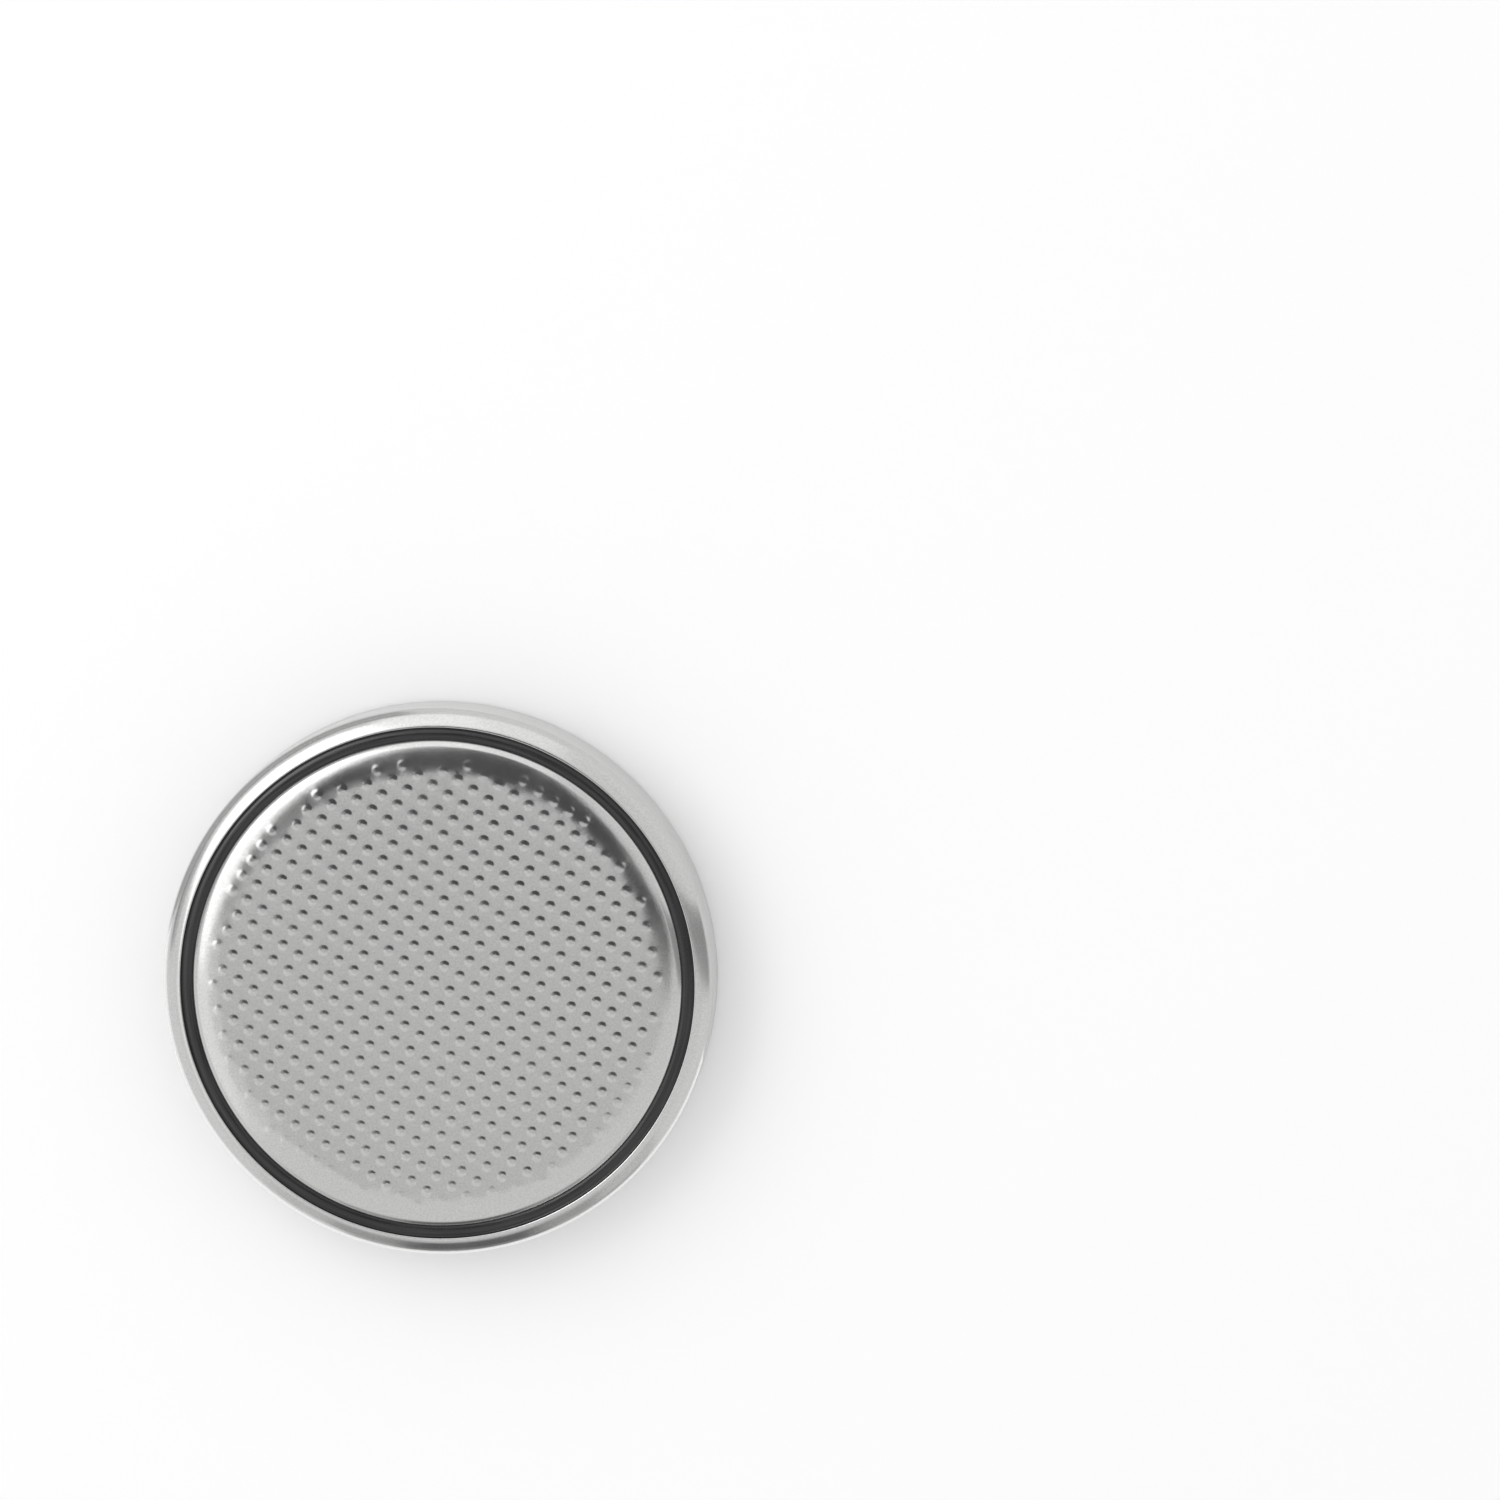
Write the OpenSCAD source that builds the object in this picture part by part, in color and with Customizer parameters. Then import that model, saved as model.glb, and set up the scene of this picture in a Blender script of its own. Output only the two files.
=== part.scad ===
// Lithium coin cell, lying on its positive face.
// The origin is the centre of the positive face, +Z runs up to the negative cap.
// The can and the cap are pressed from sheet. Each has one outline, solid from the axis outwards,
// and the sheet is the outline less the same outline moved inwards by the thickness of the sheet.
// The gasket is what is left between the inside of the can and the outside of the cap.

/* [Cell] */
// Outside diameter of the can
cell_d = 20; // [16:0.1:30]
// Height from the positive face to the tops of the raised dots
cell_h = 3.2; // [3:0.1:6]

/* [Can] */
// Thickness of the can's sheet
can_sheet = 0.25; // [0.15:0.01:0.3]
// Inside radius of the corner round the floor
floor_corner_r = 0.1; // [0.05:0.01:0.4]
// Inside radius of the bend where the wall turns into the crimp
crimp_bend_r = 0.1; // [0.05:0.01:0.2]
// Inside radius of the crimped lip
crimp_lip_r = 0.75; // [0.65:0.01:0.85]
// How far the crimp reaches in from the side of the can
crimp_w = 0.6; // [0.5:0.01:0.7]
// How far the lip lies below the tops of the dots
lip_drop = 0.3; // [0.2:0.01:0.4]

/* [Gasket] */
// Thickness of the gasket between the wall of the can and the skirt of the cap
gasket_t = 0.35; // [0.3:0.01:0.45]
// Thickness of the gasket's foot under the skirt
gasket_foot_t = 0.4; // [0.2:0.01:0.6]
// Width of the gasket's foot on the floor of the can
gasket_foot_w = 1.45; // [0.8:0.05:2]
// How far the middle of the bead round the cap stands above its edges
bead_rise = 0.06; // [0.04:0.01:0.12]
// How far the middle of the bead lies below the tops of the dots
bead_drop = 0.32; // [0.26:0.01:0.4]

/* [Cap] */
// Thickness of the cap's sheet
cap_sheet = 0.25; // [0.15:0.01:0.3]
// Outside radius of the gentle crown between the flat face and the corner
crown_r = 4; // [2:0.1:5]
// Fall of the crown, per unit of length along it, where the corner takes over
crown_fall = 0.28; // [0.2:0.01:0.4]
// Inside radius of the corner round the crown
cap_corner_r = 0.17; // [0.1:0.01:0.25]
// Outside radius of the hollow corner at the foot of the raised part
hollow_r = 0.1; // [0.05:0.01:0.15]
// How far the step lies below the cap's face
step_drop = 0.85; // [0.75:0.01:0.95]
// Width of the flat of the step
step_flat = 0.02; // [0.01:0.01:0.1]
// Inside radius of the corner between the step and the skirt
skirt_corner_r = 0.02; // [0.01:0.01:0.1]

/* [Dots] */
// Distance from one raised dot to the next along a row
dot_pitch = 0.66; // [0.65:0.005:2]
// Diameter of a raised dot
dot_d = 0.38; // [0.3:0.01:0.42]
// Height of a raised dot
dot_h = 0.03; // [0.025:0.005:0.06]
// Width of the border between the dots and the side of the cap
dot_border = 0.82; // [0.7:0.01:6]
// Angle of the rows
dot_turn = -33.6; // [-45:0.1:45]
// How far the dot nearest the middle lies off it along its row
dot_shift_x = -0.12; // [-0.33:0.01:0.33]
// How far the dot nearest the middle lies off it across its row
dot_shift_y = 0.1; // [-0.33:0.01:0.33]

/* [Inside] */
// Thickness of the lithium disc
anode_t = 0.6; // [0.3:0.05:0.8]
// Gap between the lithium disc and the crown of the cap
anode_gap = 0.1; // [0.05:0.05:1]
// Thickness of the felt between the electrodes
separator_t = 0.2; // [0.1:0.05:0.4]
// Gap between the felt and the side of the cap
separator_gap = 0.2; // [0.05:0.05:0.5]
// Gap between the manganese dioxide pellet and the gasket's foot
pellet_gap = 0.5; // [0.1:0.05:1]
// Radius of the pellet's edges
pellet_edge_r = 0.12; // [0.05:0.01:0.3]
// Thickness of the collector grid
grid_t = 0.15; // [0.05:0.01:0.3]
// Width of the pellet round the collector grid
grid_border = 1.3; // [0.5:0.1:3]
// Distance between the openings of the grid
grid_pitch = 1.2; // [0.8:0.1:3]
// Width of the bars between the openings
grid_bar = 0.3; // [0.15:0.05:0.4]
// Width of the plain rim of the grid
grid_rim = 0.5; // [0.3:0.1:1]

/* [Hidden] */
$fn = 96;
dot_fn = 24;

// Can: the bend turns into the lip where its surface faces bend_way
can_r = cell_d/2;
lip_edge = [can_r - crimp_w, cell_h - lip_drop];
lip_outer_r = crimp_lip_r + can_sheet;
bend_outer_r = crimp_bend_r + can_sheet;
floor_outer_r = floor_corner_r + can_sheet;
bend_way = [0.8, 0.6];
bend_to_lip = (lip_outer_r - bend_outer_r)*bend_way;
lip_centre_x = can_r - bend_outer_r - bend_to_lip.x;
lip_lean = (lip_edge.x - lip_centre_x)/lip_outer_r;
lip_way = [lip_lean, sqrt(1 - lip_lean*lip_lean)];
lip_centre = lip_edge - lip_outer_r*lip_way;
bend_centre = lip_centre + bend_to_lip;

// Skirt and step of the cap, outside
skirt_r = can_r - can_sheet - gasket_t;
skirt_z = can_sheet + gasket_foot_t;
skirt_outer_r = skirt_corner_r + cap_sheet;
face_z = cell_h - dot_h;
step_z = face_z - step_drop;
skirt_centre = [skirt_r - skirt_outer_r, step_z - skirt_outer_r];
hollow_centre = [skirt_centre.x - step_flat, step_z + hollow_r];

// Raised part of the cap: the crown turns into the corner where its surface faces crown_way
cap_r = hollow_centre.x - hollow_r;
corner_outer_r = cap_corner_r + cap_sheet;
crown_way = [crown_fall, sqrt(1 - crown_fall*crown_fall)];
crown_to_corner = (crown_r - corner_outer_r)*crown_way;
crown_centre = [cap_r - corner_outer_r - crown_to_corner.x, face_z - crown_r];
corner_centre = crown_centre + crown_to_corner;

// Dots: a dome is the top slice of a ball, and its foot sits inside the sheet
dot_ball_r = arc_radius(dot_d, dot_h);
dot_ball_depth = dot_ball_r - dot_h;
dot_root = cap_sheet/4;
dot_field_r = cap_r - dot_border;

// Bead of the gasket, between the cap and the edge of the lip
bead_w = lip_edge.x - cap_r;
bead_r = arc_radius(bead_w, bead_rise);
bead_centre = [cap_r + bead_w/2, cell_h - bead_drop - bead_r];

// Stack between the floor of the can and the inside of the cap
foot_r = can_r - can_sheet - gasket_foot_w;
anode_r = crown_centre.x - anode_gap;
separator_r = cap_r - cap_sheet - separator_gap;
pellet_r = foot_r - pellet_gap;
grid_r = pellet_r - grid_border;
anode_z = face_z - cap_sheet - anode_t;
separator_z = anode_z - separator_t;
pellet_t = separator_z - can_sheet;

// Radius of the arc that rises this far over this width
function arc_radius(width, rise) = (width*width/4 + rise*rise)/(2*rise);

// How far the crown leans outwards at a distance from the axis, as an angle
function crown_lean(from_axis) = asin(max(0, from_axis - crown_centre.x)/crown_r);

// A disc, with its centre given
module disc_at(centre, r) {
    translate(centre) circle(r);
}

// The slice between two ways from a disc's centre, with its round edge moved inwards
module disc_slice(centre, r, inset, way_a, way_b) {
    reach = 1.25*r;
    middle_way = (way_a + way_b)/norm(way_a + way_b);
    intersection() {
        disc_at(centre, r - inset);
        polygon([centre, centre + reach*way_a, centre + reach*middle_way, centre + reach*way_b]);
    }
}

// A block from the axis out to a radius, between two heights
module block(r, low, high) {
    translate([0, low]) square([r, high - low]);
}

module can_outline(inset) {
    block(can_r - floor_outer_r, inset, floor_outer_r);
    disc_at([can_r - floor_outer_r, floor_outer_r], floor_outer_r - inset);
    block(can_r - inset, floor_outer_r, bend_centre.y);
    disc_at(bend_centre, bend_outer_r - inset);
    disc_slice(lip_centre, lip_outer_r, inset, bend_way, lip_way);
}

module cap_outline(inset) {
    // Crown and corner
    block(crown_centre.x, skirt_z, face_z - inset);
    disc_slice(crown_centre, crown_r, inset, [0, 1], crown_way);
    disc_at(corner_centre, corner_outer_r - inset);
    block(cap_r - inset, skirt_z, corner_centre.y);
    // Hollow corner on the step
    difference() {
        translate([cap_r - inset, step_z - inset]) square(hollow_r + inset);
        disc_at(hollow_centre, hollow_r + inset);
    }
    // Step and skirt
    block(skirt_centre.x, skirt_z, step_z - inset);
    disc_at(skirt_centre, skirt_outer_r - inset);
    block(skirt_r - inset, skirt_z, skirt_centre.y);
}

// The bead, cut off along the edge of the lip that it presses against
module bead_outline() {
    lip_reach = 1.25*lip_outer_r;
    lip_end = lip_centre + lip_reach*lip_way;
    intersection() {
        disc_at(bead_centre, bead_r);
        polygon([[0, lip_centre.y], lip_centre, lip_end, [0, lip_end.y]]);
    }
}

module positive_can() {
    color("gainsboro")
        rotate_extrude() difference() {
            can_outline(0);
            can_outline(can_sheet);
        }
}

module sealing_gasket() {
    color("black")
        rotate_extrude() difference() {
            union() {
                can_outline(can_sheet);
                bead_outline();
            }
            cap_outline(0);
            square([foot_r, skirt_z]);
        }
}

// A dome with its root, from the centre of its ball
module raised_dot() {
    rotate_extrude($fn = dot_fn) intersection() {
        circle(dot_ball_r);
        translate([0, dot_ball_depth - dot_root]) square([dot_ball_r, dot_root + dot_h]);
    }
}

module raised_dots() {
    count = ceil(dot_field_r/dot_pitch) + 1;
    rotate(dot_turn)
        for (i = [-count:count], j = [-count:count]) {
            spot = dot_pitch*[i, j] + [dot_shift_x, dot_shift_y];
            lean = crown_lean(norm(spot));
            inwards = lean > 0 ? dot_ball_depth*sin(lean)/norm(spot) : 0;
            ball_spot = (1 - inwards)*spot;
            ball_z = crown_centre.y + (crown_r - dot_ball_depth)*cos(lean);
            if (norm(spot) < dot_field_r)
                translate([ball_spot.x, ball_spot.y, ball_z]) raised_dot();
        }
}

module negative_cap() {
    color("silver") {
        rotate_extrude() difference() {
            cap_outline(0);
            cap_outline(cap_sheet);
        }
        raised_dots();
    }
}

module lithium_anode() {
    color("lightslategray")
        translate([0, 0, anode_z]) cylinder(anode_t, r = anode_r);
}

module separator() {
    color("ivory")
        translate([0, 0, separator_z]) cylinder(separator_t, r = separator_r);
}

module cathode_pellet() {
    color("dimgray")
        translate([0, 0, can_sheet]) difference() {
            rotate_extrude() {
                block(pellet_r - pellet_edge_r, 0, pellet_t);
                block(pellet_r, pellet_edge_r, pellet_t - pellet_edge_r);
                for (z = [pellet_edge_r, pellet_t - pellet_edge_r])
                    disc_at([pellet_r - pellet_edge_r, z], pellet_edge_r);
            }
            cylinder(grid_t, r = grid_r);
        }
}

module collector_grid() {
    count = ceil(grid_r/grid_pitch);
    hole = grid_pitch - grid_bar;
    color("darkgray")
        translate([0, 0, can_sheet]) linear_extrude(grid_t) difference() {
            circle(grid_r);
            intersection() {
                circle(grid_r - grid_rim);
                for (i = [-count:count], j = [-count:count])
                    translate(grid_pitch*[i, j]) square(hole, center = true);
            }
        }
}

positive_can();
sealing_gasket();
negative_cap();
lithium_anode();
separator();
cathode_pellet();
collector_grid();
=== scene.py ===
# %% [markdown]
# # A lithium coin cell
# The cell is a flat steel can, 20 mm across and 3.2 mm high, closed by a dotted steel cap. A black plastic
# ring sits between them and keeps the two poles apart. Most of what the eye sees is metal, and metal shows
# its surroundings, so this lesson spends as much care on the room round the cell as on the cell itself. The
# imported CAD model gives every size. It is loaded first and is never moved.

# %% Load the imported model
import math

import bpy
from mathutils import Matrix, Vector, geometry


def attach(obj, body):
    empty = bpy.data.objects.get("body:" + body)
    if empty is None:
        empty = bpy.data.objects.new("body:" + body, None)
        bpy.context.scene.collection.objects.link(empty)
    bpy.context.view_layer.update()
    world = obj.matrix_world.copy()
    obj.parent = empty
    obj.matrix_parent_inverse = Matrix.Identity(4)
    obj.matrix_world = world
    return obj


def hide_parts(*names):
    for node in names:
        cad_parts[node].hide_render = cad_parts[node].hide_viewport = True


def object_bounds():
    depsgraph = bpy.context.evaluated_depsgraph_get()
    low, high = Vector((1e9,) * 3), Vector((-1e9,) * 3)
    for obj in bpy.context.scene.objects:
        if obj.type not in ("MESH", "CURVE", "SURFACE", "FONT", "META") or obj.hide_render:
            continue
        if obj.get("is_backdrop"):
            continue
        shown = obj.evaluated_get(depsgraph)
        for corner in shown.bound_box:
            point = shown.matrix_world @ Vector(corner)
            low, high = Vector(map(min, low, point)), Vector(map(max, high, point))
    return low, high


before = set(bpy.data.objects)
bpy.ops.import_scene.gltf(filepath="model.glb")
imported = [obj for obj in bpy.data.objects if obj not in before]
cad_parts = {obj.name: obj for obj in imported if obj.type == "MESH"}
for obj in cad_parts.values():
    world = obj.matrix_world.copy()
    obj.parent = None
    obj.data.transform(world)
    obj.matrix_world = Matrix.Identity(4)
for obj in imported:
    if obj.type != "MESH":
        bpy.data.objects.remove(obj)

cad_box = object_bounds()
MM = 0.001
print("nodes:", ", ".join(sorted(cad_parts)))

# %% [markdown]
# ## Outlines of the pressed parts
# The can, the ring and the cap are all round, so each is an outline turned about the axis. An outline could
# be drawn point by point, but pressed sheet is made of straight runs and true arcs. An arc given by its
# centre and radius keeps the bends as round as the press tool leaves them. Outlines are in millimetres:
# distance from the axis, then height.

# %% Arcs for the outlines
def arc(centre, radius, start, end, steps):
    """Points on an arc. The angles are in degrees, 0 points away from the axis and 90 points up."""
    angles = [math.radians(start + (end - start) * i / steps) for i in range(steps + 1)]
    return [(centre[0] + radius * math.cos(a), centre[1] + radius * math.sin(a)) for a in angles]


CAN_R, CAN_SHEET = 10.0, 0.25
# The can is bent at the corner of its floor, at the top of its wall, and along its lip. Each bend has a
# radius on its outside and inside, a centre, and an angle at which it ends. The first two are equally tight.
BEND_OUT, BEND_IN, BEND_WAY = 0.35, 0.10, (0.8, 0.6)
LIP_OUT, LIP_IN = 1.0, 0.75
# The upper edge of the lip on the CAD solid. The rounded edge made here reaches a little further in.
SOLID_EDGE, LIP_REACH = (9.40, 2.90), 0.05
LIP_X = CAN_R - BEND_OUT - (LIP_OUT - BEND_OUT) * BEND_WAY[0]
LIP = (LIP_X, SOLID_EDGE[1] - math.sqrt(LIP_OUT ** 2 - (SOLID_EDGE[0] - LIP_X) ** 2))
LIP_END = math.degrees(math.acos((SOLID_EDGE[0] - LIP_REACH - LIP_X) / LIP_OUT))
BEND = (CAN_R - BEND_OUT, LIP[1] + (LIP_OUT - BEND_OUT) * BEND_WAY[1])
BEND_END = math.degrees(math.atan2(BEND_WAY[1], BEND_WAY[0]))
FLOOR_CORNER = (CAN_R - BEND_OUT, BEND_OUT)
# The tight corner of the cap, the hollow below it, and the corner and foot of its skirt inside the ring.
CAP_R = 8.95
CORNER_OUT, CORNER_IN = 0.36, 0.11
CORNER = (CAP_R - CORNER_OUT, 2.6692)
HOLLOW_OUT, HOLLOW_IN = 0.10, 0.35
HOLLOW = (CAP_R + HOLLOW_OUT, 2.42)
SKIRT_CORNER, SKIRT_OUT, SKIRT_IN = (9.13, 2.05), 0.27, 0.02
SKIRT_FOOT = [(SKIRT_CORNER[0] + SKIRT_OUT, 0.65), (SKIRT_CORNER[0] + SKIRT_IN, 0.65)]
print("the lip is bent over by", round(LIP_END), "degrees")

# %% [markdown]
# ## From an outline to a mesh
# A pressed part is closed: each face meets the next, with no edge left open. Blender's Screw modifier could
# turn an outline, but rings built one by one leave their points where another mesh can be joined to them.
# The dotted face and the marked floor need that later.

# %% Turn an outline about the axis
ROUND = 256


def ring(radius, count=ROUND):
    """Flat points on a circle, in millimetres."""
    turns = [math.tau * i / count for i in range(count)]
    return [(radius * math.cos(turn), radius * math.sin(turn)) for turn in turns]


def turned(outline, closed=False):
    """Points and faces of an outline turned about the axis. Closed, its last ring is joined to its first."""
    points = [(x, y, height) for radius, height in outline for x, y in ring(radius)]
    faces = []
    for row in range(len(outline) if closed else len(outline) - 1):
        low, high = row * ROUND, (row + 1) % len(outline) * ROUND
        for i in range(ROUND):
            j = (i + 1) % ROUND
            faces.append((low + i, low + j, high + j, high + i))
    return points, faces


def piece(name, parts, sharp=40):
    """One smooth closed mesh from parts in millimetres. Points that lie on each other are joined."""
    points, faces, where = [], [], {}
    for part_points, part_faces in parts:
        index = []
        for p in part_points:
            key = tuple(round(c, 5) for c in p)
            if key not in where:
                where[key] = len(points)
                points.append([c * MM for c in p])
            index.append(where[key])
        for face in part_faces:
            kept = list(dict.fromkeys(index[i] for i in face))
            if len(kept) > 2:
                faces.append(kept)
    mesh = bpy.data.meshes.new(name)
    mesh.from_pydata(points, [], faces)
    mesh.validate()
    mesh.shade_smooth()
    mesh.set_sharp_from_angle(angle=math.radians(sharp))
    made = bpy.data.objects.new(name, mesh)
    bpy.context.scene.collection.objects.link(made)
    print(name, len(mesh.vertices), "points", len(mesh.polygons), "faces")
    return made


# %% [markdown]
# ## Filling a round face
# The face of the cap carries hundreds of dots, and the floor of the can carries a plus sign. Bump mapping
# could fake both, but their edges catch the light, so they are real shapes. A Delaunay fill joins any set
# of loops with triangles, and a height is then worked out for each point.

# %% Fill the space between loops
def filled(loops, loose, height):
    """Triangles between closed flat loops, the outer one first, with a height for each point."""
    flat, edges, owner = [], [], []
    for number, loop in enumerate(loops):
        first = len(flat)
        flat += [Vector(p) for p in loop]
        owner += [number] * len(loop)
        edges += [(first + i, first + (i + 1) % len(loop)) for i in range(len(loop))]
    flat += [Vector(p) for p in loose]
    owner += [-1] * len(loose)
    spots, _, faces, origin, _, _ = geometry.delaunay_2d_cdt(flat, edges, [], 0, 1e-6)
    owners = [owner[o[0]] if o else -1 for o in origin]
    return [(p.x, p.y, height(p.x, p.y)) for p in spots], faces, owners


# %% [markdown]
# ## The can
# The can is deep drawn from one disc of stainless sheet, a quarter of a millimetre thick. Its upper edge is
# bent inwards over the sealing ring in the last press stroke. The cut edge is burnished by the tool, so it
# is rounded here, and that rounding draws the thin bright line along the inner edge of the rim. The
# positive face is marked with a plus sign, struck into the metal with sloping sides. Smooth shading would
# smear those sides over the flat floor, so edges of more than 30 degrees stay sharp, and one more loop near
# the floor's edge keeps the roundness of the corner out of the flat.

# %% Build the can
EDGE_R = 0.045
across = (math.cos(math.radians(LIP_END)), math.sin(math.radians(LIP_END)))
along = (across[1], -across[0])
edge_spot = [LIP[i] + (LIP_OUT - EDGE_R) * across[i] + EDGE_R * along[i] for i in (0, 1)]
inner_edge = [LIP[i] + LIP_IN * across[i] for i in (0, 1)]
can_outline = (
    arc(FLOOR_CORNER, BEND_OUT, -90, 0, 10)
    + arc(BEND, BEND_OUT, 0, BEND_END, 8)
    + arc(LIP, LIP_OUT, BEND_END, LIP_END - math.degrees(EDGE_R / LIP_OUT), 16)[1:]
    + arc(edge_spot, EDGE_R, LIP_END, LIP_END + 90, 6)[1:]
    + [tuple(inner_edge)]
    + arc(LIP, LIP_IN, LIP_END, BEND_END, 8)[1:]
    + arc(BEND, BEND_IN, BEND_END, 0, 4)[1:]
    + arc(FLOOR_CORNER, BEND_IN, 0, -90, 4)
)

PLUS_CENTRE, PLUS_DEPTH, PLUS_SLOPE = (0.0, 6.2), 0.05, 0.06
PLUS_ARM, PLUS_HALF = 1.95, 0.11
BOTTOM_ARM, BOTTOM_HALF = PLUS_ARM - PLUS_SLOPE, PLUS_HALF - PLUS_SLOPE
FLAT_R = 9.6


def plus_loop(half, arm):
    """The outline of the plus sign, with arms of this half width and length."""
    corner = [(arm, -half), (arm, half), (half, half)]
    turns = [(1, 0), (0, 1), (-1, 0), (0, -1)]
    return [(PLUS_CENTRE[0] + c * x - s * y, PLUS_CENTRE[1] + s * x + c * y)
            for c, s in turns for x, y in corner]


def plus_depth(x, y):
    """How deep the plus sign is struck: full depth on the bottom of its arms, none at their edges."""
    x, y = abs(x - PLUS_CENTRE[0]), abs(y - PLUS_CENTRE[1])
    slack = PLUS_SLOPE / 2
    on_bottom = min(x, y) < BOTTOM_HALF + slack and max(x, y) < BOTTOM_ARM + slack
    return PLUS_DEPTH if on_bottom else 0.0


floor_loops = [ring(FLOOR_CORNER[0]), ring(FLAT_R)]
floor_loops += [plus_loop(PLUS_HALF, PLUS_ARM), plus_loop(BOTTOM_HALF, BOTTOM_ARM)]
floor_points, floor_faces, _ = filled(floor_loops, [], plus_depth)
floor_faces = [tuple(reversed(f)) for f in floor_faces]
inside = [(x, y, CAN_SHEET) for x, y in ring(FLOOR_CORNER[0])]
can = piece("can", [turned(can_outline), (floor_points, floor_faces), (inside, [tuple(range(ROUND))])],
            sharp=30)

# %% [markdown]
# ## The sealing ring
# The ring is moulded in black polypropylene. It fills all the room between the can and the skirt of the
# cap, and the crimp squeezes it up into a low bead, which slopes down towards the lip that presses on it.
# Only that bead can be seen. It could be a plain arc, but the moulding tool was turned on a lathe and
# leaves its lines in the plastic, so every other point of the arc is a little lower. The bead starts where
# its circle crosses the cut edge of the lip, and it ends where its circle crosses the outside of the cap's
# corner.

# %% Build the sealing ring
BEAD_MIDDLE, BEAD_TOP, BEAD_W, BEAD_RISE = 9.08, 2.88, 0.39, 0.06
BEAD_R = (BEAD_W ** 2 / 4 + BEAD_RISE ** 2) / (2 * BEAD_RISE)
BEAD = (BEAD_MIDDLE, BEAD_TOP - BEAD_R)
RIDGE = 0.004
FOOT_R = 8.30


def bearing(start, end):
    """The direction from one point of an outline to another, in degrees."""
    return math.degrees(math.atan2(end[1] - start[1], end[0] - start[0]))


def turn_to_crossing(radius, other_radius, apart):
    """The angle, on one circle, from the way to another circle's centre to where the two cross."""
    return math.degrees(math.acos((radius ** 2 + apart ** 2 - other_radius ** 2) / (2 * radius * apart)))


# How far out along the cut edge, from the centre of the lip's arc, the bead's circle is met.
offset = [LIP[i] - BEAD[i] for i in (0, 1)]
lift = offset[0] * across[0] + offset[1] * across[1]
meet = math.sqrt(lift ** 2 - (offset[0] ** 2 + offset[1] ** 2 - BEAD_R ** 2)) - lift
bead_edge = [LIP[i] + meet * across[i] for i in (0, 1)]
apart = math.dist(BEAD, CORNER)
bead_end = bearing(BEAD, CORNER) - turn_to_crossing(BEAD_R, CORNER_OUT, apart)
corner_start = bearing(BEAD, CORNER) + turn_to_crossing(CORNER_OUT, BEAD_R, apart) - 180
bead = arc(BEAD, BEAD_R, bearing(BEAD, bead_edge), bead_end, 24)
bead[1:-1] = [(r, z - RIDGE * (i % 2)) for i, (r, z) in enumerate(bead[1:-1])]
ring_outline = (
    arc(FLOOR_CORNER, BEND_IN, -90, 0, 4)
    + arc(BEND, BEND_IN, 0, BEND_END, 4)
    + arc(LIP, LIP_IN, BEND_END, LIP_END, 8)[1:]
    + bead
    + arc(CORNER, CORNER_OUT, corner_start, 0, 6)[1:]
    + arc(HOLLOW, HOLLOW_OUT, 180, 270, 5)
    + arc(SKIRT_CORNER, SKIRT_OUT, 90, 0, 8)
    + [SKIRT_FOOT[0], (FOOT_R, SKIRT_FOOT[0][1]), (FOOT_R, CAN_SHEET)]
)
sealing_ring = piece("sealing_ring", [turned(ring_outline, closed=True)])

# %% [markdown]
# ## The cap and its raised dots
# The cap is pressed from sheet as well. Its flat face runs over a gentle crown into a tight corner, and
# rows of small domes are embossed all over it, 0.66 mm apart, so that a spring contact bites well. A slice
# of a ball would do for a dome, but sheet can't be pressed to a sharp foot, so each dome is a round top on
# a soft foot, 0.02 mm high. The rows are turned against the edges of the picture. Only whole dots are
# struck, and on the crown, which falls away from the stamp, they come out lower.

# %% Build the cap
FACE_Z = 3.17
CROWN_START, CROWN_R, CROWN_IN = 7.5876, 4.0, 3.75
CROWN_CENTRE = (CROWN_START, FACE_Z - CROWN_R)
CROWN_END = bearing(CROWN_CENTRE, CORNER)
PATCH_R = 8.50
DOT_PITCH, DOT_TURN, DOT_SHIFT, DOT_FIELD_R = 0.66, math.radians(-33.6), (-0.12, 0.1), 8.19
DOT_ROUND, DOT_CLEARANCE, DOT_FADE = 20, 0.03, 1.2
CROWN_RINGS, CROWN_STEP, CROWN_SIDES = 8, 0.12, 200
# The outline of a dot: distance from its middle, then rise above the face. Its loops run from foot to top.
DOT_PROFILE = [
    (0.0, 0.0216), (0.05, 0.0212), (0.09, 0.0188), (0.13, 0.0132),
    (0.17, 0.0066), (0.205, 0.0020), (0.24, 0.0)]
DOT_LOOPS = DOT_PROFILE[:0:-1]


def crown_z(radius):
    """Height of the bare cap at a distance from the axis."""
    past = max(0.0, radius - CROWN_START)
    return FACE_Z - CROWN_R + math.sqrt(CROWN_R ** 2 - past ** 2)


def dot_spots():
    """The middle of each raised dot, row by row."""
    reach = math.ceil(DOT_FIELD_R / DOT_PITCH) + 1
    for i in range(-reach, reach + 1):
        for j in range(-reach, reach + 1):
            x, y = DOT_PITCH * i + DOT_SHIFT[0], DOT_PITCH * j + DOT_SHIFT[1]
            if math.hypot(x, y) < DOT_FIELD_R:
                c, s = math.cos(DOT_TURN), math.sin(DOT_TURN)
                yield c * x - s * y, s * x + c * y


def dot_share(spot):
    """How much of its full height a dot has. It is halved about 0.8 mm out on the crown."""
    return 1 / (1 + DOT_FADE * max(0.0, math.hypot(*spot) - CROWN_START))


def dot_rings(spot):
    """The rings of points on one dome, from its foot to its top."""
    return [[(spot[0] + x, spot[1] + y) for x, y in ring(radius, DOT_ROUND)] for radius, _ in DOT_LOOPS]


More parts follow.
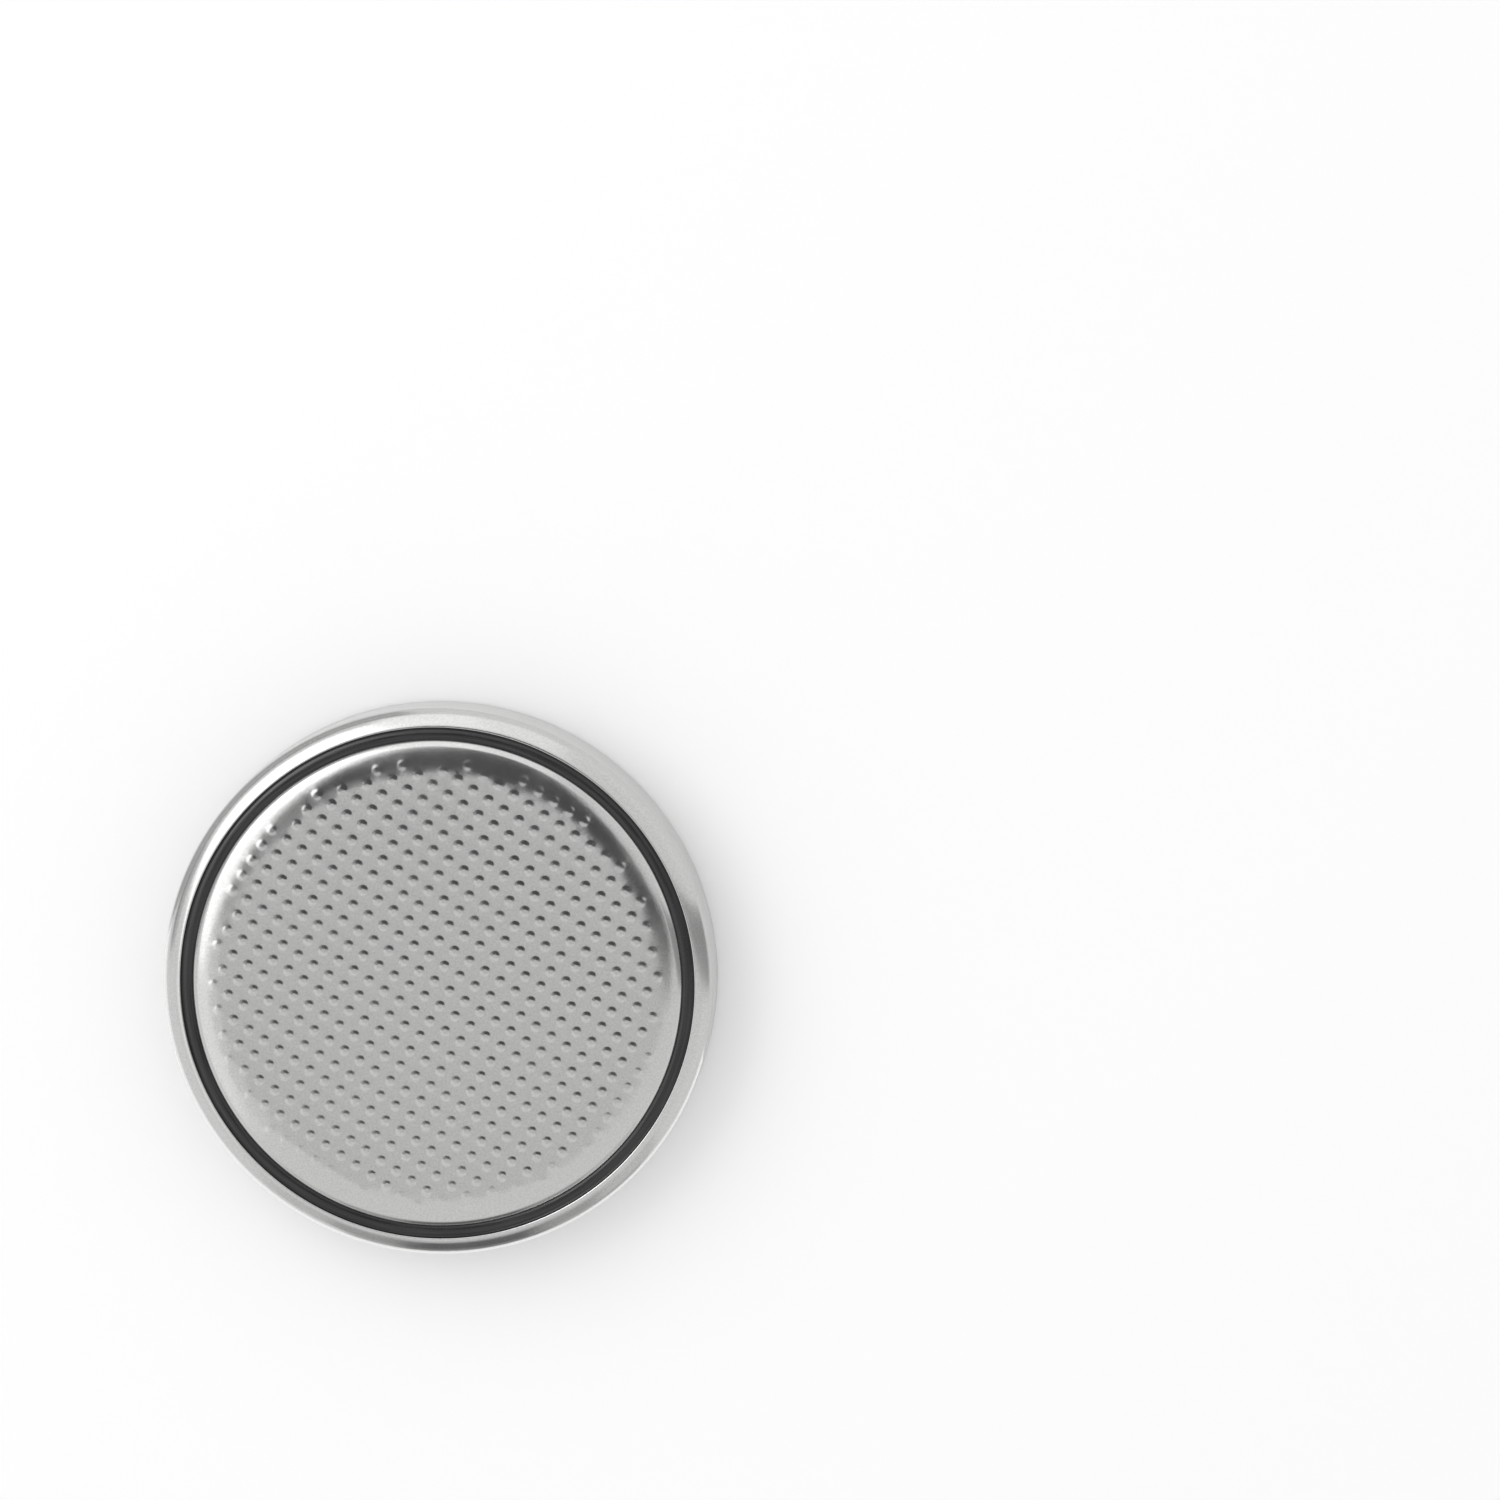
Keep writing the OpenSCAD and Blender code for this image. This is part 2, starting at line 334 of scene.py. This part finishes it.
def clear_of_dots(p, room):
    """Whether a point keeps this far away from the middle of every dot."""
    return all(abs(p[0] - s[0]) > room or abs(p[1] - s[1]) > room or math.dist(p, s) > room for s in spots)


# The face between the dots. Loose points in rings make the crown round. No faces are kept under the dots.
spots = list(dot_spots())
feet = [dot_rings(spot)[0] for spot in spots]
room = DOT_PROFILE[-1][0] + DOT_CLEARANCE
crown_rings = [ring(CROWN_START + CROWN_STEP * step, CROWN_SIDES) for step in range(CROWN_RINGS)]
loose = [p for loop in crown_rings for p in loop if clear_of_dots(p, room)]
face_points, face_faces, owners = filled(
    [ring(PATCH_R)] + feet, loose, lambda x, y: crown_z(math.hypot(x, y)))
face_faces = [f for f in face_faces if owners[f[0]] < 1 or len({owners[i] for i in f}) > 1]
face = [(face_points, face_faces)]
for spot in spots:
    share = dot_share(spot)
    points = [
        (x, y, crown_z(math.hypot(x, y)) + share * rise)
        for loop, (_, rise) in zip(dot_rings(spot), DOT_LOOPS) for x, y in loop
    ]
    points.append((*spot, crown_z(math.hypot(*spot)) + share * DOT_PROFILE[0][1]))
    faces = [
        (r * DOT_ROUND + i, r * DOT_ROUND + (i + 1) % DOT_ROUND,
         (r + 1) * DOT_ROUND + (i + 1) % DOT_ROUND, (r + 1) * DOT_ROUND + i)
        for r in range(len(DOT_LOOPS) - 1) for i in range(DOT_ROUND)
    ]
    last = (len(DOT_LOOPS) - 1) * DOT_ROUND
    faces += [(last + i, last + (i + 1) % DOT_ROUND, len(points) - 1) for i in range(DOT_ROUND)]
    face.append((points, faces))

patch_angle = math.degrees(math.acos((PATCH_R - CROWN_START) / CROWN_R))
cap_outline = (
    arc(CROWN_CENTRE, CROWN_R, patch_angle, CROWN_END, 4)
    + arc(CORNER, CORNER_OUT, CROWN_END, 0, 16)[1:]
    + arc(HOLLOW, HOLLOW_OUT, 180, 270, 5)
    + arc(SKIRT_CORNER, SKIRT_OUT, 90, 0, 8)
    + SKIRT_FOOT
    + arc(SKIRT_CORNER, SKIRT_IN, 0, 90, 3)
    + arc(HOLLOW, HOLLOW_IN, 270, 180, 6)
    + arc(CORNER, CORNER_IN, 0, CROWN_END, 6)
    + arc(CROWN_CENTRE, CROWN_IN, CROWN_END, 90, 4)[1:]
)
under = [(x, y, cap_outline[-1][1]) for x, y in ring(cap_outline[-1][0])]
walls, wall_faces = turned(cap_outline)
wall_faces = [tuple(reversed(f)) for f in wall_faces]
cap = piece("cap", face + [(walls, wall_faces), (under, [tuple(reversed(range(ROUND)))])])
print(len(spots), "dots")

# %% [markdown]
# ## Nodes and colours
# Each material is a small tree of nodes. One function adds a node, sets it and links it, so a material
# reads from top to bottom. Colours are written as a painter would look them up, in sRGB hex, and turned to
# the linear values that the renderer works in.

# %% Helpers for materials
def linear(code):
    """A colour in linear values from an sRGB hex code."""
    parts = [int(code[i:i + 2], 16) / 255 for i in (1, 3, 5)]
    return tuple(c / 12.92 if c <= 0.04045 else ((c + 0.055) / 1.055) ** 2.4 for c in parts) + (1.0,)


def add(tree, kind, inputs=None, **settings):
    """Adds a node. Each input is given a number, a colour, or the output of another node."""
    made = tree.nodes.new("ShaderNode" + kind)
    for name, value in settings.items():
        setattr(made, name, value)
    for socket, value in (inputs or {}).items():
        if isinstance(value, bpy.types.NodeSocket):
            tree.links.new(value, made.inputs[socket])
        else:
            made.inputs[socket].default_value = value
    return made


def new_material(name):
    """An empty material and its tree."""
    material = bpy.data.materials.new(name)
    material.use_nodes = True
    material.node_tree.nodes.clear()
    return material, material.node_tree


# %% [markdown]
# ## Pressed stainless steel
# Stainless sheet comes from the mill with a satin skin: too fine to see as lines, but enough to blur what
# the metal reflects. The base colour of a metal is how much it reflects, a little over half for this steel.
# Three things are laid over that. A cloudy change of roughness comes from handling. A fine grain comes from
# the rolled sheet. Lines that run round the part come from the press tool. They could be drawn with a wave
# of rings, but that looks too regular, so they are made with a four-dimensional noise that changes fast
# with the radius and slowly along the circle, which leaves no seam.

# %% Pressed stainless steel
def pressed_steel(name, code, roughness, lines):
    """Satin stainless sheet. Its grain and its tool lines are less than a tenth of a millimetre wide."""
    material, tree = new_material(name)
    place = add(tree, "TexCoord").outputs["Object"]
    flat = add(tree, "VectorMath", {0: place, 1: (1.0, 1.0, 0.0)}, operation="MULTIPLY").outputs[0]
    radius = add(tree, "VectorMath", {0: flat}, operation="LENGTH").outputs["Value"]
    way = add(tree, "VectorMath", {0: flat}, operation="NORMALIZE").outputs[0]
    around = add(tree, "VectorMath", {0: way, "Scale": 0.5 * MM}, operation="SCALE").outputs[0]
    tall = add(tree, "VectorMath", {0: place, 1: (0.0, 0.0, 1.0)}, operation="MULTIPLY").outputs[0]
    track = add(tree, "VectorMath", {0: around, 1: tall}, operation="ADD").outputs[0]
    tool = add(tree, "TexNoise", {"Vector": track, "W": radius, "Scale": 1 / (0.09 * MM), "Detail": 3.0},
               noise_dimensions="4D").outputs["Fac"]
    grain = add(tree, "TexNoise", {"Vector": place, "Scale": 1 / (0.07 * MM), "Detail": 3.0}).outputs["Fac"]
    cloud = add(tree, "TexNoise", {"Vector": place, "Scale": 1 / (2.2 * MM), "Detail": 5.0,
                                   "Roughness": 0.6}).outputs["Fac"]
    tone = add(tree, "MapRange", {"Value": grain, "From Min": 0.25, "From Max": 0.75,
                                  "To Min": 0.91, "To Max": 1.07}).outputs["Result"]
    colour = add(tree, "VectorMath", {0: linear(code)[:3], "Scale": tone}, operation="SCALE")
    rough = add(tree, "MapRange", {"Value": cloud, "From Min": 0.3, "From Max": 0.7,
                                   "To Min": roughness - 0.03, "To Max": roughness + 0.04})
    skin = add(tree, "Bump", {"Height": grain, "Strength": 0.5, "Distance": 0.0012 * MM}).outputs[0]
    worked = add(tree, "Bump", {"Height": tool, "Strength": lines, "Distance": 0.0012 * MM,
                                "Normal": skin}).outputs[0]
    steel = add(tree, "BsdfPrincipled", {"Base Color": colour.outputs[0], "Metallic": 1.0,
                                         "Roughness": rough.outputs["Result"], "Normal": worked})
    add(tree, "OutputMaterial", {"Surface": steel.outputs[0]})
    return material


can_steel = pressed_steel("drawn_stainless_steel", "#c6c6c5", 0.17, 0.6)
cap_steel = pressed_steel("embossed_stainless_steel", "#c4c4c3", 0.155, 0.12)
print("steels:", can_steel.name, cap_steel.name)

# %% [markdown]
# ## Black moulded polypropylene
# Polypropylene is a soft, slightly waxy plastic. Carbon black makes it nearly black right through, so what
# is seen is mostly the sheen on its skin. The lines of the turned mould run round the ring: the same noise
# as in the steel draws them, closer together and deeper. Their colour is also made lighter and darker along
# them, a painted sheen in streaks. The skin is a little rougher in patches.

# %% Black moulded polypropylene
def moulded_plastic(name, code):
    """Black plastic with the fine turned lines of its mould, about a twentieth of a millimetre apart, and
    painted sheen along them.
    """
    material, tree = new_material(name)
    place = add(tree, "TexCoord").outputs["Object"]
    flat = add(tree, "VectorMath", {0: place, 1: (1.0, 1.0, 0.0)}, operation="MULTIPLY").outputs[0]
    radius = add(tree, "VectorMath", {0: flat}, operation="LENGTH").outputs["Value"]
    way = add(tree, "VectorMath", {0: flat}, operation="NORMALIZE").outputs[0]
    around = add(tree, "VectorMath", {0: way, "Scale": 0.3 * MM}, operation="SCALE").outputs[0]
    lines = add(tree, "TexNoise", {"Vector": around, "W": radius, "Scale": 1 / (0.06 * MM), "Detail": 2.0},
                noise_dimensions="4D").outputs["Fac"]
    cloud = add(tree, "TexNoise", {"Vector": place, "Scale": 1 / (0.8 * MM), "Detail": 4.0}).outputs["Fac"]
    # Painted sheen: the colour is made lighter and darker along the mould lines, besides their real bumps.
    tone = add(tree, "MapRange", {"Value": lines, "From Min": 0.3, "From Max": 0.7,
                                  "To Min": 0.5, "To Max": 2.2}).outputs["Result"]
    colour = add(tree, "VectorMath", {0: linear(code)[:3], "Scale": tone}, operation="SCALE")
    rough = add(tree, "MapRange", {"Value": cloud, "From Min": 0.3, "From Max": 0.7,
                                   "To Min": 0.22, "To Max": 0.30})
    skin = add(tree, "Bump", {"Height": lines, "Strength": 1.0, "Distance": 0.007 * MM}).outputs[0]
    plastic = add(tree, "BsdfPrincipled", {"Base Color": colour.outputs[0], "IOR": 1.49,
                                           "Roughness": rough.outputs["Result"], "Normal": skin})
    add(tree, "OutputMaterial", {"Surface": plastic.outputs[0]})
    return material


ring_plastic = moulded_plastic("black_polypropylene", "#1c1c1d")
print("plastic:", ring_plastic.name)

# %% [markdown]
# ## Lithium, felt, manganese dioxide and the grid
# Four pieces are sealed inside and stay as the CAD solids that they are. Each still gets the finish of the
# real thing, because the part may be shown cut open. Lithium foil is rolled and tarnishes to a dull grey
# with darker streaks. The separator is a felt of melted polypropylene fibres. Manganese dioxide is a black
# powder, pressed with graphite. The grid is plain stainless sheet.

# %% Finishes of the inner pieces
def rolled_lithium(name):
    """Soft rolled metal, tarnished in streaks along the way that it was rolled."""
    material, tree = new_material(name)
    place = add(tree, "TexCoord").outputs["Object"]
    drawn = add(tree, "VectorMath", {0: place, 1: (0.08, 1.0, 1.0)}, operation="MULTIPLY").outputs[0]
    streak = add(tree, "TexNoise", {"Vector": drawn, "Scale": 1 / (0.35 * MM),
                                    "Detail": 5.0}).outputs["Fac"]
    colour = add(tree, "Mix", {"Factor": streak, "A": linear("#8e9094"), "B": linear("#c3c5c9")},
                 data_type="RGBA")
    rough = add(tree, "MapRange", {"Value": streak, "To Min": 0.62, "To Max": 0.38})
    skin = add(tree, "Bump", {"Height": streak, "Strength": 0.5, "Distance": 0.004 * MM}).outputs[0]
    metal = add(tree, "BsdfPrincipled", {"Base Color": colour.outputs["Result"], "Metallic": 1.0,
                                         "Roughness": rough.outputs["Result"], "Normal": skin})
    add(tree, "OutputMaterial", {"Surface": metal.outputs[0]})
    return material


def fibre_felt(name):
    """White felt, its fibres a few hundredths of a millimetre thick and lying every way, with painted shade
    in the gaps between them.
    """
    material, tree = new_material(name)
    place = add(tree, "TexCoord").outputs["Object"]
    stir = add(tree, "TexNoise", {"Vector": place, "Scale": 1 / (0.5 * MM), "Detail": 2.0}).outputs["Color"]
    bent = add(tree, "Mix", {"Factor": 0.25 * MM, "A": place, "B": stir},
               data_type="VECTOR").outputs["Result"]
    fibre = add(tree, "TexVoronoi", {"Vector": bent, "Scale": 1 / (0.12 * MM)},
                feature="DISTANCE_TO_EDGE").outputs[0]
    # Painted shade: the colour is darker in the sunken gaps between the fibres.
    tone = add(tree, "MapRange", {"Value": fibre, "From Max": 0.25,
                                  "To Min": 1.0, "To Max": 0.72}).outputs["Result"]
    shade = add(tree, "VectorMath", {0: linear("#f1f0ea")[:3], "Scale": tone}, operation="SCALE")
    skin = add(tree, "Bump", {"Height": fibre, "Strength": 0.8, "Distance": 0.02 * MM},
               invert=True).outputs[0]
    felt = add(tree, "BsdfPrincipled", {"Base Color": shade.outputs[0], "Roughness": 0.9, "IOR": 1.49,
                                        "Normal": skin})
    add(tree, "OutputMaterial", {"Surface": felt.outputs[0]})
    return material


def pressed_powder(name):
    """Black powder pressed hard, with grains of a tenth of a millimetre and a faint graphite glint."""
    material, tree = new_material(name)
    place = add(tree, "TexCoord").outputs["Object"]
    grains = add(tree, "TexVoronoi", {"Vector": place, "Scale": 1 / (0.1 * MM)}).outputs["Distance"]
    pits = add(tree, "TexNoise", {"Vector": place, "Scale": 1 / (0.3 * MM), "Detail": 6.0}).outputs["Fac"]
    colour = add(tree, "Mix", {"Factor": pits, "A": linear("#17171a"), "B": linear("#3a3a3e")},
                 data_type="RGBA")
    rough = add(tree, "MapRange", {"Value": grains, "To Min": 0.55, "To Max": 0.85})
    skin = add(tree, "Bump", {"Height": grains, "Strength": 0.6, "Distance": 0.02 * MM},
               invert=True).outputs[0]
    powder = add(tree, "BsdfPrincipled", {"Base Color": colour.outputs["Result"],
                                          "Roughness": rough.outputs["Result"], "Normal": skin})
    add(tree, "OutputMaterial", {"Surface": powder.outputs[0]})
    return material


inner_finishes = {
    "lithium_anode": rolled_lithium("rolled_lithium"),
    "separator": fibre_felt("polypropylene_felt"),
    "cathode_pellet": pressed_powder("pressed_manganese_dioxide"),
    "collector_grid": pressed_steel("grid_stainless_steel", "#bdbdbc", 0.3, 0.2),
}

# %% [markdown]
# ## Dressing the part
# The three outer pieces stand in for their CAD nodes, which are hidden, and each is given its finish, listed
# with the name of its slot in the record. The four inner nodes stay, with their new finishes.

# %% Put the pieces and finishes in place
for made, finish, node, slot in (
    (can, can_steel, "positive_can", "can_steel"),
    (sealing_ring, ring_plastic, "sealing_gasket", "gasket_plastic"),
    (cap, cap_steel, "negative_cap", "cap_steel"),
):
    made.data.materials.append(finish)
    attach(made, "root")
    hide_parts(node)
for node, finish in inner_finishes.items():
    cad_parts[node].material_slots[0].material = finish
    print(node, "is finished in", finish.name)

# %% [markdown]
# ## The table
# The cell lies on a matt white table. A closed table would hide the positive face and keep it dark. So the
# table has a round hole, a little wider than the can's flat floor, which the cell covers, and it can't be
# seen from behind.

# %% Table
def matt_white(name):
    """Matt white paint that is seen from the front only."""
    material, tree = new_material(name)
    paint = add(tree, "BsdfDiffuse", {"Color": linear("#fdfdfd")}).outputs[0]
    gone = add(tree, "BsdfTransparent").outputs[0]
    behind = add(tree, "NewGeometry").outputs["Backfacing"]
    both = add(tree, "MixShader", {0: behind, 1: paint, 2: gone}).outputs[0]
    add(tree, "OutputMaterial", {"Surface": both})
    return material


SIDES = 128
HOLE_R, TABLE_R = 9.68, 3000.0
table_points = [(x, y, 0.0) for radius in (HOLE_R, TABLE_R) for x, y in ring(radius, SIDES)]
table_faces = [(i, i + SIDES, (i + 1) % SIDES + SIDES, (i + 1) % SIDES) for i in range(SIDES)]
table = piece("table", [(table_points, table_faces)])
table.data.materials.append(matt_white("matt_white_paint"))
table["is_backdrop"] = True

# %% [markdown]
# ## The white room
# The world is plain white for the camera and for everything that the metal reflects. As a light it is a
# little dimmer, so that the table comes out white without being blown out.

# %% World
world = bpy.data.worlds.new("white_room")
bpy.context.scene.world = world
world.use_nodes = True
tree = world.node_tree
tree.nodes.clear()
path = add(tree, "LightPath").outputs
seen = add(tree, "Math", {0: path["Is Camera Ray"], 1: path["Is Glossy Ray"]},
           operation="MAXIMUM").outputs[0]
seen = add(tree, "Math", {0: seen, 1: path["Is Transmission Ray"]}, operation="MAXIMUM").outputs[0]
level = add(tree, "MapRange", {"Value": seen, "To Min": 0.89, "To Max": 1.0}).outputs["Result"]
white = add(tree, "Background", {"Color": (1.0, 1.0, 1.0, 1.0), "Strength": level}).outputs[0]
add(tree, "OutputWorld", {"Surface": white})
print("world:", world.name)

# %% [markdown]
# ## Cards for the metal to reflect
# In a studio, white and black cards stand round a shiny object, because bare metal in a white room looks
# like paper. Lamps alone would leave only bright specks, so the cards here are flat shapes that glow
# evenly, each at its own level. Each corner is given from the cell: azimuth, angle from straight up, and
# distance in millimetres. Only reflections see the cards, apart from the soft box, which is the main light.

# %% Make a card
def card(name, corners, brightness, lights=False):
    """A flat shape that glows evenly. The camera never sees it, and only a card that lights adds light."""
    points = []
    for azimuth, lean, away in corners:
        a, b = math.radians(azimuth), math.radians(lean)
        aside = away * math.sin(b)
        points.append((aside * math.cos(a), aside * math.sin(a), away * math.cos(b)))
    made = piece(name, [(points, [tuple(range(len(points)))])])
    material, tree = new_material(name + "_glow")
    glow = add(tree, "Emission", {"Color": (1.0, 1.0, 1.0, 1.0), "Strength": brightness}).outputs[0]
    add(tree, "OutputMaterial", {"Surface": glow})
    made.data.materials.append(material)
    made.visible_camera = False
    made.visible_diffuse = lights
    made.visible_shadow = False
    made.visible_transmission = lights
    made.visible_volume_scatter = False
    made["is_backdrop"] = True


def overhead(name, height, corners, brightness, lights=False):
    """A level card at this height, its corners given by azimuth and angle from straight up."""
    placed = [(azimuth, lean, height / math.cos(math.radians(lean))) for azimuth, lean in corners]
    card(name, placed, brightness, lights)


def upright(name, left, right, top, low, away, brightness):
    """A card between two azimuths that reaches down from one angle from straight up to another."""
    card(name, [(left, top, away), (right, top, away), (right, low, away), (left, low, away)], brightness)


# %% [markdown]
# ## What hangs above the cell
# The flat face of the cap reflects a spot of the ceiling just past straight up, away from the camera. So
# the pale ceiling sets the grey of the whole face. The camera and its stand are dark, and they fill the
# other side of straight up: they put the dark crescent on each dot and the dark band along the upper
# shoulder of the cap. The soft box to the upper left makes the wide white bands, and two screens carry them
# round to the right.

# %% Cards above
overhead("ceiling", 900, [(a, 62) for a in range(0, 360, 15)], 0.95)
overhead("ceiling_middle", 850, [
    (0, 0), (-15, 20), (-45, 21), (-75, 21), (-105, 21), (-135, 21), (-160, 21), (-178, 20)], 0.80)
overhead("camera_shade", 200, [
    (-12, 27), (4, 27), (10, 21), (20, 19.5), (38, 20), (50, 21.5), (62, 25), (75, 27.5), (90, 28),
    (107, 27), (128, 25), (148, 24.5), (158, 18.5), (168, 7), (-150, 1), (-105, 1.2), (-60, 2.5),
    (-30, 4.5), (-12, 9)], 0.08)
overhead("arm", 210, [(-24, 4), (-28, 14), (-25, 24), (-8, 25), (-6, 10), (-14, 4)], 0.34)
overhead("shoulder", 210, [
    (146, 24), (156, 25), (166, 25.5), (180, 26), (190, 24), (194, 15), (188, 8), (172, 4), (160, 8)], 0.38)
overhead("soft_box", 300, [
    (192, 34), (184, 30), (176, 28), (163, 27), (150, 26.5), (135, 26.5), (122, 27.5), (112, 29), (112, 66),
    (122, 69), (136, 70), (150, 70), (160, 67), (168, 58), (178, 45), (190, 40)], 1.9, lights=True)
overhead("screen", 300, [(84, 28), (98, 27), (111, 27), (111, 78), (98, 79), (84, 80)], 1.42)
overhead("screen_edge", 300, [(62, 29), (73, 28), (83, 28), (83, 82), (73, 81), (62, 80)], 1.25)
overhead("soft_box_middle", 298, [
    (158, 34), (140, 32), (122, 34), (120, 62), (136, 65), (150, 65), (160, 58)], 4.0)
overhead("bounce", 310, [(189, 30), (200, 31), (222, 33), (222, 48), (205, 50), (191, 50)], 1.22)

# %% [markdown]
# ## What stands and lies round the cell
# The rolled rim bends over by nearly a quarter of a turn, so it shows everything from the ceiling down to
# the table, as narrow rings. A sill, a post and a grey mat draw the thin grey line at its upper left. The
# dark end of the room darkens it at the bottom, with a strip of white paper close by that keeps its
# outermost edge bright. Low dark walls under the level of the table are seen only by the positive face.
# Without them everything that it reflects is white, and the plus sign can't be seen.

# %% Cards around
card("window_sill", [
    (102, 82, 400), (158, 82, 400), (160, 79, 400), (182, 79, 400), (182, 91, 400), (102, 91, 400)], 0.48)
upright("window_post", 160, 182, 66, 91, 420, 0.68)
mat = [(a, 88.3) for a in range(100, 171, 10)] + [(a, 89.8) for a in range(170, 99, -10)]
overhead("grey_mat", 0.4, mat, 0.6)
upright("dark_wall", -130, -47, 55, 91, 700, 0.78)
upright("dark_curtain", -116, -64, 58, 91, 500, 0.5)
upright("dark_door", -103, -78, 60, 91, 300, 0.17)
upright("lamp_stand", -9, 10, 30, 91, 300, 0.40)
paper = [(a, 88.8) for a in range(172, 343, 10)] + [(a, 87.9) for a in range(342, 171, -10)]
overhead("white_paper", 0.4, paper, 1.42)
overhead("dim_mat", 0.41, [
    (-112, 88.75), (-85, 88.75), (-48, 88.75), (-48, 89.9), (-85, 89.9), (-112, 89.9)], 0.6)
for side in (0, 90, 180, 270):
    upright(f"low_wall_{side}", side, side + 90, 92, 136, 400, 0.22)
overhead("dark_mat", 0.42, [(-102, 88.7), (-72, 88.7), (-72, 89.9), (-102, 89.9)], 0.3)

# %% [markdown]
# ## Camera and view
# The cell is seen from high up, eleven degrees off its axis, through a long lens. A short lens close by
# would make the near side of the rim look wider than the far side. A 200 mm lens at 0.3 m keeps that change
# small. The place and the angles follow from the outlines of the rim and the cap in the picture.

# %% Camera
camera_data = bpy.data.cameras.new("camera")
camera_data.lens = 200
camera_data.sensor_width = 36
camera_data.clip_start = 0.01
camera_data.clip_end = 20
camera = bpy.data.objects.new("camera", camera_data)
camera.location = Vector((32.265, 46.982, 299.098)) * MM
camera.rotation_euler = [math.radians(a) for a in (-7.385, 3.998, -0.253)]
bpy.context.scene.collection.objects.link(camera)
bpy.context.scene.camera = camera
bpy.context.scene.view_settings.view_transform = "Standard"
print("camera:", round(camera.location.length / MM), "mm away")

# %% [markdown]
# The real cell is 20.0 mm across and 3.2 mm high. A ruler in the viewport would do, but the box round the
# imported model and the box round the dressed one are measured the same way each time. The dressed one is
# about a hundredth of a millimetre lower, as its dots are.

# %% Measure the sizes and finish
visual_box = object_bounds()
boxes = {label: [[float(c) for c in corner] for corner in corners]
         for label, corners in (("cad", cad_box), ("visual", visual_box))}
for label, corners in boxes.items():
    print(label, [round(c * 1000, 3) for corner in corners for c in corner])
